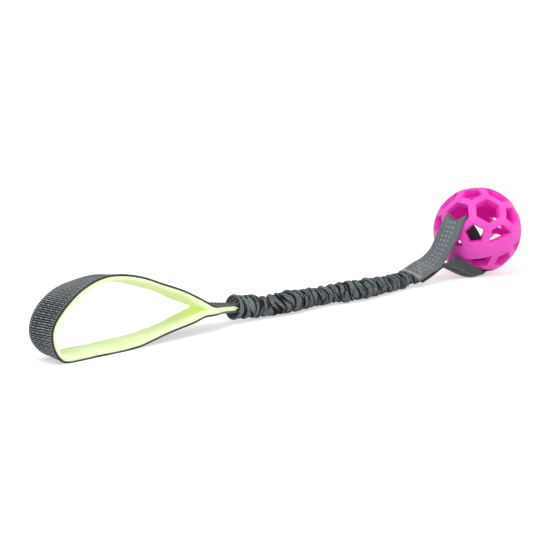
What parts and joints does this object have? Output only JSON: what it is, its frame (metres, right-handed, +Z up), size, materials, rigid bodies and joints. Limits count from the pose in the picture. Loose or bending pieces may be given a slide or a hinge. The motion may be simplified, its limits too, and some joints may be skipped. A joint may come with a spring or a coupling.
{
  "type": "bungee tug toy",
  "caption": "Bungee tug toy: padded webbing loop handle, gathered stretch sleeve over an elastic, and an openwork lattice ball held in a webbing strap loop.",
  "frame": {"origin": "on the floor, under the middle of the toy's bounding box, as it lies with the handle's underside and the ball on the floor", "axes": "+X along the toy from the handle to the ball, +Y across it, away from the pictured side, +Z up"},
  "size_m": [0.501, 0.0708, 0.0691],
  "materials": {
    "grey_webbing": "matte woven",
    "lime_padding": "matte",
    "grey_sleeve": "matte woven",
    "elastic": "satin",
    "grey_strap": "matte woven",
    "pale_thread": "matte",
    "pink_rubber": "satin"
  },
  "bodies": {
    "sleeve": {"bungee_sleeve": "grey_sleeve"},
    "handle": {"handle_webbing": "grey_webbing", "handle_lining": "lime_padding"},
    "elastic": {"elastic_core": "elastic"},
    "strap": {"ball_strap": "grey_strap", "strap_bar_tack": "pale_thread"},
    "ball": {"ball": "pink_rubber"}
  },
  "joints": [
    {"name": "handle_fold", "type": "hinge", "parent": "sleeve", "child": "handle", "pos_m": [-0.06258, 0, 0.01145], "axis": [0, 1, 0], "range_deg": [-45, 45], "deforming": ["bungee_sleeve"]},
    {"name": "bungee_stretch", "type": "slide", "parent": "sleeve", "child": "elastic", "axis": [1, 0, 0], "range_m": [0, 0.15], "stiffness_N_per_m": 300, "deforming": ["bungee_sleeve", "elastic_core"]},
    {"name": "strap_fold", "type": "hinge", "parent": "elastic", "child": "strap", "pos_m": [0.13442, 0, 0.00798], "axis": [0, -1, 0], "range_deg": [-90, 90], "deforming": ["bungee_sleeve"]},
    {"name": "ball_rock", "type": "hinge", "parent": "strap", "child": "ball", "pos_m": [0.21542, 0, 0.03457], "axis": [0, 1, 0], "range_deg": [-20, 20], "deforming": ["ball_strap"]}
  ]
}
